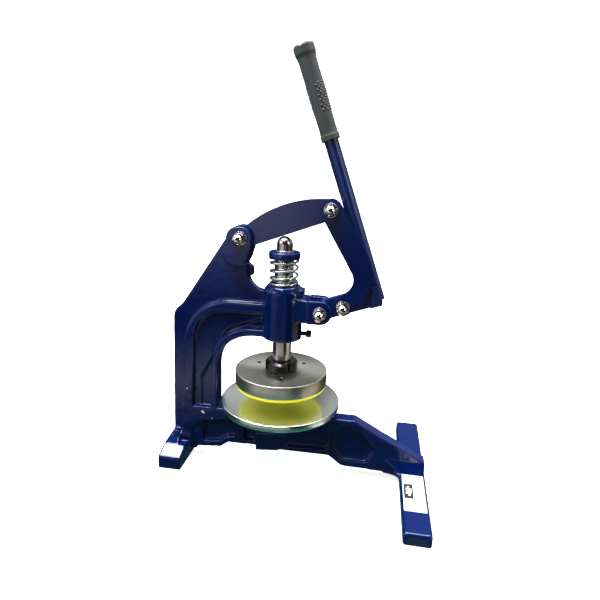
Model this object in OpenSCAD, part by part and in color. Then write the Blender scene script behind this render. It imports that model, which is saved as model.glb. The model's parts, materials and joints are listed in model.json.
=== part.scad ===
// Bench hand press: cast C-frame, hand lever, crank link, upper arm and a
// sprung ram that carries a round pressure plate over a fixed round plate.
// Units are millimetres. Z is up, X runs from the rear foot to the front
// foot, Y is the width. The origin is on the floor, under the middle of the
// box that holds the whole press.

/* [Pressure plate and anvil] */
// Diameter of the moving pressure plate
press_plate_d = 100; // [96:1:102]
// Thickness of the moving pressure plate
press_plate_t = 14.5; // [13:0.5:16]
// Thickness of the soft pad under the pressure plate
pad_t = 3; // [2:0.5:4]
// Diameter of the fixed lower plate
anvil_d = 130; // [120:1:134]
// Thickness of the fixed lower plate
anvil_t = 7; // [6:0.5:8]
// Height of the lower plate's working face above the floor
anvil_top_z = 83; // [82:0.5:84]
// Pitch circle of the three tooling holes
tool_pcd = 58; // [54:1:64]
// Diameter of the tooling holes
tool_hole_d = 4.2; // [3:0.1:6]

/* [Ram] */
// Ram diameter
ram_d = 20; // [19.5:0.1:20.4]
// Diameter of the ram's neck and dome
dome_d = 16.7; // [16:0.1:17.2]
// Outside diameter of the cast sleeve
sleeve_d = 41; // [40:0.5:43]
// Radial running clearance of the ram in its sleeve
ram_fit = 0.05; // [0.02:0.01:0.1]
// Spring wire diameter
wire_d = 2.6; // [2:0.1:3]
// Outside diameter of the spring
spring_od = 31; // [30:0.5:32]

/* [Linkage] */
// Thickness of the lever bar and of the upper arm
bar_t = 9; // [8:0.5:9]
// Thickness of the link plate
link_t = 5.9; // [5:0.1:5.9]
// Height of the lever bar
bar_h = 20; // [18:0.5:21]
// Handle tube diameter
tube_d = 14; // [13:0.5:14]
// Pivot bolt diameter
bolt_d = 8; // [7.5:0.1:8.2]
// Outside diameter of the washers on the pivot bolts
washer_od = 14; // [13.6:0.1:16]
// Radial running clearance at the pivots
pin_fit = 0.05; // [0.02:0.01:0.1]
// Radial play of the link on the crank bolt
crank_play = 2.8; // [2.7:0.1:3]

/* [Hidden] */
$fn = 64;
eps = 0.01;
// Distance from the box middle to the ram axis
ox = 17;
// Pivot centres, measured from the ram axis
N1 = [-43.8, 259.5];
N2 = [46.6, 292.3];
N3 = [40.6, 187.6];
N4 = [63.7, 196.0];
lever_tilt = 20.25;
// Plate stack
plate_top = 118;
plate_bot = plate_top - press_plate_t;
// Half widths of the casting along Y
web_in = 3.5;
web_up = 5;
rib_y = 11;
beam_y = 8;
ear_in = 4.8;
ear_out = 12;
lug_out = 14.8;
// Feet
rear_x0 = -130; rear_x1 = -104.5; rear_y = 38.8;
front_x0 = 137; front_x1 = 164; front_y = 104.5;
// Height of the flat face where the head stands on the bed
split_z = 66;
foot_h = 12.5;
// Link plate position
link_y0 = -7.3 - link_t; link_y1 = -7.3;
// Spring
spring_z0 = 212; spring_z1 = 240;

// ---------- helpers ----------
function unit(v) = v / norm(v);
function wrap(a) = a > 180 ? a - 360 : a < -180 ? a + 360 : a;
// points of an arc about c, from angle a0 over da
function arc(c, r, a0, da, n) = [for (i = [0:n]) [c[0] + r*cos(a0 + da*i/n), c[1] + r*sin(a0 + da*i/n)]];
// corner b of a path a-b-c rounded to radius r
function corner(a, b, c, r) = r <= 0 ? [[b[0], b[1]]] :
  let(p = [b[0], b[1]], u = unit([a[0], a[1]] - p), v = unit([c[0], c[1]] - p),
      h = acos(max(-1, min(1, u*v)))/2, d = r/tan(h), m = p + unit(u + v)*r/sin(h),
      t1 = p + u*d - m, t2 = p + v*d - m,
      a1 = atan2(t1[1], t1[0]), da = wrap(atan2(t2[1], t2[0]) - a1))
  arc(m, r, a1, da, max(2, ceil(abs(da)/7.5)));
// closed outline with a corner radius as each point's third number
function rounded(P) = [for (i = [0:len(P)-1]) each corner(P[(i + len(P) - 1) % len(P)], P[i], P[(i + 1) % len(P)], P[i][2])];
// centre of the circle through three points
function mid3(a, b, c) = let(d = 2*(a[0]*(b[1]-c[1]) + b[0]*(c[1]-a[1]) + c[0]*(a[1]-b[1])), A = a*a, B = b*b, C = c*c)
  [(A*(b[1]-c[1]) + B*(c[1]-a[1]) + C*(a[1]-b[1]))/d, (A*(c[0]-b[0]) + B*(a[0]-c[0]) + C*(b[0]-a[0]))/d];

// side-view outline carried across from y0 to y1
module across(y0, y1) translate([0, y1, 0]) rotate([90, 0, 0]) linear_extrude(y1 - y0) children();
// end-view outline (Y, Z) carried along X from x0 to x1
module along(x0, x1) translate([x0, 0, 0]) rotate([90, 0, 90]) linear_extrude(x1 - x0) children();
// a round bar along Y at p
module bar_y(p, r, y0, y1) translate([p[0], y0, p[1]]) rotate([-90, 0, 0]) cylinder(r = r, h = y1 - y0);
module at_origin() translate([-ox, 0, 0]) children();
module washer_y(p, ro, ri, y0, y1) difference() { bar_y(p, ro, y0, y1); bar_y(p, ri, y0 - 1, y1 + 1); }
module hex_y(p, af, y0, y1, turn) translate([p[0], y0, p[1]]) rotate([-90, 0, 0]) rotate([0, 0, turn])
  linear_extrude(y1 - y0) polygon([for (i = [0:5]) [af/sqrt(3)*cos(60*i), af/sqrt(3)*sin(60*i)]]);
// hex bolt: head on +Y at y_head, shank down to y_end
module pivot_bolt(p, y_head, y_end, turn) {
  intersection() {
    hex_y(p, 13, y_head, y_head + 5.3, turn);
    translate([p[0], y_head - 1, p[1]]) rotate([-90, 0, 0]) cylinder(r1 = 13.2, r2 = 6.8, h = 6.4);
  }
  bar_y(p, bolt_d/2, y_end, y_head + eps);
}
// domed cap nut, open side at y_open, dome towards -Y
module cap_nut(p, y_open, turn) difference() {
  union() {
    intersection() {
      hex_y(p, 12, y_open - 6.5, y_open, turn);
      translate([p[0], y_open - 6.5, p[1]]) rotate([-90, 0, 0]) cylinder(r1 = 6.2, r2 = 8.7, h = 6.5);
    }
    bar_y(p, 5.6, y_open - 9, y_open - 6);
    intersection() {
      translate([p[0], y_open - 9, p[1]]) sphere(r = 5.6);
      bar_y(p, 7, y_open - 16, y_open - 9 + eps);
    }
  }
  bar_y(p, bolt_d/2 + 0.05, y_open - 11, y_open + 1);
}

// ---------- cast frame ----------
// outline of the upper plate and column, as seen from the side
function plate_outline() = rounded([
  [-124, 14, 0], [-120.2, 176, 16], [-110, 184, 20], [-61.5, 257.5, 10], [-56, 271.5, 12.5],
  [-31, 271.5, 12.5], [-32.2, 254, 4], [-38, 233, 4], [-36.5, 206, 19], [-13, 204.5, 0],
  [-13, 178, 0], [-60, 160, 20], [-90, 100, 0], [-90, 14, 0]]);
function rib_out() = rounded([[-10, 191.8, 0], [-103.8, 191.8, 53], [-113.6, 14, 0], [-101, 14, 0], [-94.4, 180.8, 32], [-10, 180.8, 0]]);
function rib_in()  = rounded([[-10, 163, 0], [-74.6, 163, 44], [-77.5, 60, 0], [-71, 60, 0], [-70.4, 155.4, 41], [-10, 155.4, 0]]);
function c_fill()  = rounded([[-10, 186, 0], [-98, 186, 45], [-107, 14, 0], [-74, 14, 0], [-72.5, 159, 42], [-10, 159, 0]]);
// side view of the bed beam
function beam_outline() = rounded([
  [-110, 12, 0], [-67, 16, 3], [-58, 23, 5], [-8, 23.5, 0], [2, 21, 0], [57, 21.5, 5], [72, 10.5, 4], [139, 8.5, 0],
  [139, 37, 0], [84, 67, 6], [-60, 67, 0], [-66, 66, 0], [-90, 66, 0], [-104, 60, 0]]);

module feet() {
  // rear foot, its top rising from the ends to the column
  translate([rear_x0, -rear_y, 0]) cube([rear_x1 - rear_x0, 2*rear_y, foot_h]);
  intersection() {
    along(rear_x0, rear_x1) polygon([[-rear_y, 2], [-rear_y, 14], [-rear_y + 1.2, 15], [-21, 20.5], [21, 20.5], [rear_y - 1.2, 15], [rear_y, 14], [rear_y, 2]]);
    across(-rear_y, rear_y) polygon(rounded([[rear_x0, 2, 0], [rear_x1, 2, 0], [rear_x1, 21, 2], [rear_x0, 21, 2]]));
  }
  // steeper root of the column on the rear foot
  intersection() {
    along(rear_x0, -114) polygon([[-21.5, 10], [-21.5, 20], [-8, 31.5], [8, 31.5], [21.5, 20], [21.5, 10]]);
    across(-25, 25) polygon([[rear_x0, 8], [rear_x0, 20], [-122.4, 34], [-112, 34], [-112, 8]]);
  }
  across(-13, 13) polygon([[-122, 8], [-115.8, 8], [-115.8, 33], [-122, 33]]);
  // front foot
  linear_extrude(foot_h - 1.5) polygon(rounded([[front_x0, -front_y, 3], [front_x1, -front_y, 3], [front_x1, front_y, 3], [front_x0, front_y, 3]]));
  linear_extrude(foot_h) polygon(rounded([[front_x0 + 1.2, -front_y + 1.2, 2.5], [front_x1 - 1.2, -front_y + 1.2, 2.5], [front_x1 - 1.2, front_y - 1.2, 2.5], [front_x0 + 1.2, front_y - 1.2, 2.5]]));
  // flared joint of the beam on the front foot, clear of the floor
  translate([0, 0, 8]) linear_extrude(foot_h - 8.3) polygon([[118, -beam_y], [126.5, -beam_y], [134.5, -14], [138.5, -28], [150, -28], [150, 28], [138.5, 28], [134.5, 14], [126.5, beam_y], [118, beam_y]]);
  across(-beam_y, beam_y) polygon([[120, 8], [162.8, 8], [162.8, 25.2], [120, 47.5]]);
  intersection() {
    along(118, 162.8) polygon([[-12.7, 8], [-12.7, 12.4], [-11.6, 16], [-beam_y + 0.1, 25.4], [beam_y - 0.1, 25.4], [11.6, 16], [12.7, 12.4], [12.7, 8]]);
    linear_extrude(40) polygon([[119.5, -beam_y + 0.1], [136.5, -12.4], [139, -14.5], [164, -14.5], [164, 14.5], [139, 14.5], [136.5, 12.4], [119.5, beam_y - 0.1]]);
  }
}

module bed_beam() {
  difference() {
    across(-beam_y, beam_y) polygon(beam_outline());
    for (s = [-1, 1]) scale([1, s, 1]) {
      // rear pocket
      across(3.6, 9) polygon(rounded([[-88, 21.2, 3], [-68, 23.2, 4], [-60, 30, 4], [-50, 31, 3], [-50, 52, 3], [-88, 51, 4]]));
      // small window pocket
      across(3.6, 9) polygon(rounded([[-38.5, 28.5, 1.5], [-27, 29, 1.5], [-27, 43, 1.5], [-38.5, 42.5, 1.5]]));
      // long pocket under the lower plate, with a low toe towards the front pocket
      across(3.6, 9) polygon(rounded([[9.6, 27, 2], [53, 27.5, 3], [57.5, 32.5, 2], [58, 43.5, 2], [47, 43.5, 0.6], [47, 56, 2], [9.6, 56, 3]]));
      // front pocket
      across(3.6, 9) polygon(rounded([[61.5, 29, 3], [71, 17.6, 4], [100.5, 17.6, 7], [108.5, 34, 7], [97, 50, 5], [80, 58.8, 3], [66.2, 57.6, 3]]));
    }
  }
  // fixing boss of the lower plate
  across(-rib_y, rib_y) polygon([[-25.2, 19], [1.2, 21.5], [1.2, 44], [-25.2, 42]]);
  translate([0, 0, 40]) cylinder(r = 11, h = anvil_top_z - anvil_t - 40);
  translate([0, 0, 60]) cylinder(r = 24, h = anvil_top_z - anvil_t - 60);
  // pads at both sides of the boss
  for (s = [-1, 1]) across(s*5 - 5, s*5 + 5) polygon([[-48.5, 26], [-40.8, 26], [-40.8, 66], [-48.5, 66]]);
}

module sleeve() {
  translate([0, 0, 154]) cylinder(d = sleeve_d, h = 50, $fn = 96);
  rotate_extrude($fn = 96) polygon([[0, 203], [sleeve_d/2, 203], [sleeve_d/2, 206.6], [sleeve_d/2 - 0.6, 208], [17.4, 211.5], [16.6, 212], [0, 212]]);
  translate([8, -8.5, 192]) cube([13.8, 17, 17]);
}

// head: column, arch, upper plate, ears, sleeve and lugs
module frame_casting() color([0.05, 0.07, 0.3]) at_origin() difference() {
  union() {
    intersection() {
      union() {
        across(-web_up, web_up) polygon(plate_outline());
        across(-web_in, web_in) polygon(c_fill());
        across(-rib_y, rib_y) polygon(rib_out());
        across(-rib_y, rib_y) polygon(rib_in());
      }
      translate([-140, -20, split_z]) cube([160, 40, 240]);
    }
    // ears round the arm's pivot
    across(-ear_out, ear_out) polygon(rounded([[-61.2, 247, 11.5], [-57.6, 270.6, 11.5], [-32, 271.6, 11.5], [-32.2, 252, 8], [-38.6, 230.8, 11.5], [-64.2, 229.8, 11.5]]));
    // cast stop nose in the throat of the upper plate
    across(-4, 4) polygon(rounded([[-42, 234.5, 0], [-37.6, 233.4, 1], [-32, 229, 1.5], [-32, 221, 1.5], [-37.4, 218, 1], [-42, 218, 0]]));
    sleeve();
    // clevis lugs of the lever
    across(-13.6, 13.6) polygon([[8, 175.4], [32, 175.2], [32, 199.6], [8, 200.4]]);
    bar_y(N3, 12.4, -lug_out, lug_out);
    across(-lug_out, lug_out) polygon([[28, N3[1] - 12.4], [N3[0], N3[1] - 12.4], [N3[0], N3[1] + 12.4], [28, N3[1] + 12.4]]);
  }
  // slot of the arm between its ears
  across(-ear_in, ear_in) polygon(rounded([[-59.2, 244, 14], [-59.2, 276, 14], [-20, 276, 0], [-20, 244, 0]]));
  // slot of the lever between its lugs
  across(-ear_in, ear_in) polygon(rounded([[28.4, 170, 0], [60, 170, 0], [60, 205, 0], [28.4, 205, 0]]));
  bar_y(N1, bolt_d/2 + 0.05, -30, 30);
  bar_y(N3, bolt_d/2 + 0.05, -30, 30);
  // ram bore
  translate([0, 0, 150]) cylinder(r = ram_d/2 + ram_fit, h = 70, $fn = 96);
  // tapped hole of the guide screw
  translate([9, 0, 160]) rotate([0, 90, 0]) cylinder(r = 2.55, h = 20);
}

// bed: root of the column, beam, fixing boss and both feet
module bed_casting() color([0.05, 0.07, 0.3]) at_origin() difference() {
  union() {
    intersection() {
      union() {
        across(-web_up, web_up) polygon(plate_outline());
        across(-rib_y, rib_y) polygon(rib_out());
        // web over the arch at the column's root, up to the ledge of the side recess
        across(-rib_y, rib_y) polygon(concat([[-112, 14], [-106.5, 14]], [[-105.4, 27], [-104.6, 32], [-101.4, 40], [-94, 46], [-84.5, 48.8]], [[-57, 53.5], [-57, split_z], [-112, split_z]]));
      }
      translate([-140, -20, 0]) cube([160, 40, split_z]);
    }
    across(-beam_y, beam_y) polygon([[-112, 10], [-96, 10], [-90, 62], [-108, 62]]);
    bed_beam();
    feet();
  }
  // fixing hole of the lower plate
  translate([0, 0, -5]) cylinder(r = 4.3, h = 90);
  translate([0, 0, -5]) cylinder(r = 7, h = 53);
}

module lower_plate() color([0.75, 0.78, 0.76]) at_origin() difference() {
  rotate_extrude($fn = 128) polygon([[0, anvil_top_z - anvil_t], [anvil_d/2 - 0.8, anvil_top_z - anvil_t], [anvil_d/2, anvil_top_z - anvil_t + 0.8],
    [anvil_d/2, anvil_top_z - 1], [anvil_d/2 - 1, anvil_top_z], [0, anvil_top_z]]);
  translate([0, 0, anvil_top_z - anvil_t - 1]) cylinder(r = 4.05, h = anvil_t - 0.5);
}

module lower_plate_bolt() color([0.7, 0.7, 0.72]) at_origin() difference() {
  union() {
    translate([0, 0, 38.4]) cylinder(r = 6.5, h = 8);
    translate([0, 0, 46.4 - eps]) cylinder(r = 4, h = anvil_top_z - anvil_t + 5 - 46.4);
  }
  translate([0, 0, 37]) linear_extrude(5.4) polygon([for (i = [0:5]) [6/sqrt(3)*cos(60*i), 6/sqrt(3)*sin(60*i)]]);
}
module lower_plate_washer() color([0.7, 0.7, 0.72]) at_origin() difference() {
  translate([0, 0, 46.4]) cylinder(r = 6.8, h = 1.6);
  translate([0, 0, 45]) cylinder(r = 4.2, h = 4);
}

module arm_pivot_bolt() color([0.8, 0.8, 0.82]) at_origin() pivot_bolt(N1, ear_out + 1.2, -ear_out - 11, 8);
module arm_pivot_nut() color([0.86, 0.86, 0.88]) at_origin() cap_nut(N1, -ear_out - 1.2, 12);
module arm_pivot_washers() color([0.8, 0.8, 0.82]) at_origin() {
  washer_y(N1, washer_od/2, bolt_d/2 + 0.2, -ear_out - 1.2, -ear_out);
  washer_y(N1, washer_od/2, bolt_d/2 + 0.2, ear_out, ear_out + 1.2);
}
module lever_pivot_bolt() color([0.8, 0.8, 0.82]) at_origin() pivot_bolt(N3, lug_out + 1.2, -lug_out - 11, 20);
module lever_pivot_nut() color([0.86, 0.86, 0.88]) at_origin() cap_nut(N3, -lug_out - 1.2, 25);
module lever_pivot_washers() color([0.8, 0.8, 0.82]) at_origin() {
  washer_y(N3, washer_od/2, bolt_d/2 + 0.2, -lug_out - 1.2, -lug_out);
  washer_y(N3, washer_od/2, bolt_d/2 + 0.2, lug_out, lug_out + 1.2);
}

module foot_label() color([0.95, 0.95, 0.95]) at_origin()
  translate([0, 0, foot_h]) linear_extrude(0.4) polygon(rounded([[138.9, -72.5, 1.5], [162.4, -72.5, 1.5], [162.4, -13, 1.5], [138.9, -13, 1.5]]));

// coil of half rings, each tilted so that it climbs its own share of the height
coil_share = [0.3, 1.5, 3.8, 3.6, 3.9, 4.1, 4.4, 3.0, 0.8];
function sum_to(v, k) = k <= 0 ? 0 : v[k - 1] + sum_to(v, k - 1);
module return_spring() color([0.85, 0.85, 0.87]) at_origin() {
  R = (spring_od - wire_d)/2;
  n = len(coil_share);
  gain = (spring_z1 - spring_z0 - wire_d)/sum_to(coil_share, n);
  for (k = [0:n-1]) {
    rise = coil_share[k]*gain;
    tilt = atan(rise/2/R);
    z = spring_z0 + wire_d/2 + sum_to(coil_share, k)*gain;
    translate([0, 0, z + rise/2])
      rotate([0, k % 2 == 0 ? tilt : -tilt, 0]) rotate([0, 0, k % 2 == 0 ? 1.5 : 181.5])
        rotate_extrude(angle = 177, $fn = 48) translate([R/cos(tilt), 0]) circle(d = wire_d, $fn = 16);
    // the half rings meet in a bead a hair thicker than the wire
    if (k > 0) translate([k % 2 == 0 ? R : -R, 0, z]) sphere(r = wire_d/2 + 0.12, $fn = 24);
  }
}

module guide_screw() color([0.08, 0.08, 0.08]) at_origin() translate([0, 0, 160]) rotate([0, 90, 0]) {
  translate([0, 0, 8.4]) cylinder(r = 2.5, h = 17.8);
  difference() {
    translate([0, 0, 26]) cylinder(r = 4.2, h = 5);
    translate([0, 0, 28.5]) linear_extrude(4) polygon([for (i = [0:5]) [4/sqrt(3)*cos(60*i), 4/sqrt(3)*sin(60*i)]]);
  }
}

module ram_shaft() color([0.75, 0.74, 0.7]) at_origin() difference() {
  union() {
    translate([0, 0, 106]) cylinder(r = 7.9, h = 24);
    rotate_extrude($fn = 96) polygon([[0, 128.7], [ram_d/2 - 0.8, 128.7], [ram_d/2, 129.5], [ram_d/2, 239.5], [ram_d/2 - 0.5, 240], [0, 240]]);
    translate([0, 0, 239]) cylinder(d = dome_d, h = 254.6 - 239);
    translate([0, 0, 254.6]) intersection() { sphere(d = dome_d, $fn = 96); translate([0, 0, -eps]) cylinder(r = 10, h = 12); }
  }
  // groove of the guide screw
  translate([ram_d/2 - 1.9, -2.8, 154]) cube([6, 5.6, 26]);
}

module spring_collar() color([0.05, 0.08, 0.35]) at_origin() difference() {
  rotate_extrude($fn = 96) polygon([[dome_d/2 + 0.05, 240], [15.7, 240], [16.3, 240.6], [16.3, 246.2], [15.5, 247], [dome_d/2 + 0.05, 247]]);
}
module retaining_ring() color([0.8, 0.8, 0.8]) at_origin()
  rotate_extrude($fn = 96) polygon([[dome_d/2 + 0.03, 247], [9.7, 247], [9.7, 248.2], [9.4, 248.6], [dome_d/2 + 0.03, 248.6]]);

module pressure_plate() color([0.66, 0.66, 0.64]) at_origin() difference() {
  rotate_extrude($fn = 128) polygon([[0, plate_bot], [press_plate_d/2 - 0.6, plate_bot], [press_plate_d/2, plate_bot + 0.6],
    [press_plate_d/2, plate_top - 1], [press_plate_d/2 - 1, plate_top], [0, plate_top]]);
  translate([0, 0, 105.8]) cylinder(r = 8, h = 20);
  for (a = [-80, 40, 160]) rotate([0, 0, a]) translate([tool_pcd/2, 0, plate_top - 9]) cylinder(d = tool_hole_d, h = 12);
}
module ram_lock_nut() color([0.06, 0.06, 0.07]) at_origin() difference() {
  rotate_extrude($fn = 96) polygon([[8, plate_top], [16.6, plate_top], [17.4, plate_top + 0.8], [17.4, plate_top + 8.2], [15, plate_top + 10.5], [8, plate_top + 10.5]]);
  for (a = [35, 125, 215, 305]) rotate([0, 0, a]) translate([14, -2.6, plate_top - 1]) cube([6, 5.2, 14]);
}
module pressure_pad() color([0.95, 0.9, 0.05]) at_origin()
  rotate_extrude($fn = 128) polygon([[0, plate_bot - pad_t], [press_plate_d/2 - 1.2, plate_bot - pad_t], [press_plate_d/2 - 0.8, plate_bot - pad_t + 0.4], [press_plate_d/2 - 0.8, plate_bot], [0, plate_bot]]);
// upper arm: straight underside, crowned back, round hub and round nose
module upper_arm() color([0.12, 0.13, 0.32]) at_origin() difference() {
  union() {
    across(-bar_t/2, bar_t/2) polygon(let(a = [-40.3, 271.7], b = [0, 295.2], c = [44.4, 301.9], m = mid3(a, b, c), r = norm(a - m),
        a0 = atan2(a[1]-m[1], a[0]-m[0]), a1 = atan2(c[1]-m[1], c[0]-m[0]))
      concat([[-38.6, 248.6], [-34, 250.9], [-30, 252.6]], [[43, 280.4], [50, 284.5], [52, 292.3]], arc(m, r, a1, a0 - a1, 24), [[-43.8, 272.3], [-54, 262]]));
    bar_y(N1, 12.8, -bar_t/2, bar_t/2);
    bar_y(N2, 9.7, -bar_t/2, bar_t/2);
  }
  bar_y(N1, bolt_d/2 + pin_fit, -20, 20);
  bar_y(N2, bolt_d/2 + pin_fit, -20, 20);
}

// link: two straight limbs joined by a wide bend
module link_plate() color([0.05, 0.07, 0.3]) at_origin() difference() {
  union() {
    across(link_y0, link_y1) polygon(rounded([[55.9, 298.1, 0], [101.1, 224.9, 44], [69.9, 189.2, 0], [57.2, 202.3, 0], [76.4, 221.3, 16], [37.4, 286.5, 0]]));
    bar_y(N2, 10.9, link_y0, link_y1);
    bar_y(N4, 9.2, link_y0, link_y1);
  }
  bar_y(N2, bolt_d/2 + 0.05, -30, 30);
  bar_y(N4, bolt_d/2 + crank_play, -30, 30);
}
module link_bolt() color([0.8, 0.8, 0.82]) at_origin() pivot_bolt(N2, bar_t/2 + 1.5, link_y0 - 11, 5);
module link_nut() color([0.86, 0.86, 0.88]) at_origin() cap_nut(N2, link_y0 - 1.2, 40);
module link_washers() color([0.8, 0.8, 0.82]) at_origin() {
  washer_y(N2, washer_od/2, bolt_d/2 + 0.2, link_y0 - 1.2, link_y0);
  washer_y(N2, washer_od/2, bolt_d/2 + 0.2, bar_t/2 + 0.3, bar_t/2 + 1.5);
}
module link_spacer() color([0.7, 0.7, 0.72]) at_origin() washer_y(N2, 7, bolt_d/2 + 0.1, link_y1, -bar_t/2 - 0.3);

// lever parts are drawn along the bar and turned to their rest angle
module lever_frame() translate([N3[0], 0, N3[1]]) rotate([0, -lever_tilt, 0]) children();
tube_u = 59.8;
bar_end = 63.3;
module lever_bar() color([0.05, 0.07, 0.3]) at_origin() difference() {
  union() {
    lever_frame() {
      across(-bar_t/2, bar_t/2) polygon([[0, -bar_h/2], [bar_end, -bar_h/2], [bar_end, bar_h/2], [0, bar_h/2]]);
      bar_y([0, 0], bar_h/2, -bar_t/2, bar_t/2);
    }
    // socket cheeks of the handle tube, clear of the link plate
    intersection() {
      lever_frame() across(-9, 9) polygon([[40, -bar_h/2], [bar_end, -bar_h/2], [bar_end, bar_h/2], [40, bar_h/2]]);
      translate([91.2, -20, 150]) cube([40, 40, 100]);
    }
    // weld at the inner side of the tube, cut back where the link plate passes
    difference() {
      lever_frame() intersection() {
        translate([tube_u, 0, bar_h/2 - 1]) cylinder(r1 = 9.4, r2 = 8.2, h = 6.6);
        translate([tube_u - 12, -12, 0]) cube([11, 24, 30]);
      }
      translate([60, -20, 170]) cube([91.2 - 60, 20 - 6.9, 80]);
    }
  }
  lever_frame() {
    bar_y([0, 0], bolt_d/2 + pin_fit, -20, 20);
    translate([tube_u, 0, -5]) cylinder(d = tube_d + 0.1, h = 60);
  }
  bar_y(N4, bolt_d/2 + 0.05, -20, 20);
}
module handle_tube() color([0.05, 0.07, 0.3]) at_origin() lever_frame() translate([tube_u, 0, 0]) difference() {
  translate([0, 0, -5]) cylinder(d = tube_d, h = 245);
  translate([0, 0, -6]) cylinder(d = tube_d - 5, h = 243);
}
// moulded grip: lower bead, straight body with pads of raised pips, flared end
module handle_grip() color([0.16, 0.17, 0.17]) at_origin() lever_frame() translate([tube_u, 0, 0]) difference() {
  union() {
    rotate_extrude($fn = 64) polygon(concat([[0, 158.5], [8.2, 158.5], [9.2, 159.5], [9.2, 163], [8.9, 164], [9.1, 200], [9.2, 236], [9.9, 238.5], [10.3, 240]],
      arc([5.8, 243.5], 4.5, 0, 90, 8), [[0, 248]]));
    for (s = [0, 180]) for (k = [0:(s == 0 ? 8 : 6)]) for (i = [0:5])
      rotate([0, 0, s - 77 + k*14.5]) translate([8.3, 0, 186 + i*4.5 + (k % 2)*2.25]) rotate([0, 90, 0]) cylinder(r = 0.8, h = 1.4, $fn = 24);
  }
  translate([0, 0, 150]) cylinder(d = tube_d + 0.06, h = 90.1);
}
module crank_bolt() color([0.8, 0.8, 0.82]) at_origin() pivot_bolt(N4, bar_t/2 + 1.2, link_y0 - 11, 33);
module crank_nut() color([0.86, 0.86, 0.88]) at_origin() cap_nut(N4, link_y0 - 1.5, 8);
module crank_washers() color([0.8, 0.8, 0.82]) at_origin() {
  washer_y(N4, washer_od/2, bolt_d/2 + 0.2, link_y0 - 1.5, link_y0 - 0.3);
  washer_y(N4, washer_od/2, bolt_d/2 + 0.2, bar_t/2, bar_t/2 + 1.2);
}
module crank_spacer() color([0.7, 0.7, 0.72]) at_origin() washer_y(N4, 7, bolt_d/2 + 0.1, link_y1 + 0.3, -bar_t/2);

frame_casting();
bed_casting();
lower_plate();
lower_plate_bolt();
lower_plate_washer();
arm_pivot_bolt();
arm_pivot_nut();
arm_pivot_washers();
lever_pivot_bolt();
lever_pivot_nut();
lever_pivot_washers();
foot_label();
return_spring();
guide_screw();
ram_shaft();
spring_collar();
retaining_ring();
pressure_plate();
ram_lock_nut();
pressure_pad();
upper_arm();
link_plate();
link_bolt();
link_nut();
link_washers();
link_spacer();
lever_bar();
handle_tube();
handle_grip();
crank_bolt();
crank_nut();
crank_washers();
crank_spacer();
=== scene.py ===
import json
import math

import bmesh
import bpy
from mathutils import Matrix, Vector


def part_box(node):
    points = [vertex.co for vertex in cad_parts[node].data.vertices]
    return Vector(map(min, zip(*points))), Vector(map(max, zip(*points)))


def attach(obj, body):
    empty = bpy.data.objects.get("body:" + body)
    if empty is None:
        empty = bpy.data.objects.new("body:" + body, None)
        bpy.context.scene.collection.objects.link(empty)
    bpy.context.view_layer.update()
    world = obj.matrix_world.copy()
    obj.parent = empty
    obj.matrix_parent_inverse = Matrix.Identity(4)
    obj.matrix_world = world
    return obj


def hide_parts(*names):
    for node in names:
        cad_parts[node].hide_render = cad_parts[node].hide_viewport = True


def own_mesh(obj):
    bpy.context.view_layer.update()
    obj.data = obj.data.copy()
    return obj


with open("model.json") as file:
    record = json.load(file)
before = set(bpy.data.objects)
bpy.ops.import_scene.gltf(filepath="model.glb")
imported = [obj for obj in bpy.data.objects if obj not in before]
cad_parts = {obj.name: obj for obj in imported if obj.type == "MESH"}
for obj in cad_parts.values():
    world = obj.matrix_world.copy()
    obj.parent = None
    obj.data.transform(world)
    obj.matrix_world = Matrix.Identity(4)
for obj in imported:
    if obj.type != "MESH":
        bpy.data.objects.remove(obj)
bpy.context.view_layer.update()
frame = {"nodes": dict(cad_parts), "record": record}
NODES = frame["nodes"]
SCENE = bpy.context.scene
OX = 0.017  # the ram axis stands this far towards -X from the origin


# ------------------------------------------------------------------ helpers
def P(x, y, z):
    """Millimetres from the ram axis to metres in the row frame."""
    return Vector((x / 1000.0 - OX, y / 1000.0, z / 1000.0))


def new_object(name, mesh):
    ob = bpy.data.objects.new(name, mesh)
    SCENE.collection.objects.link(ob)
    return ob


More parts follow.
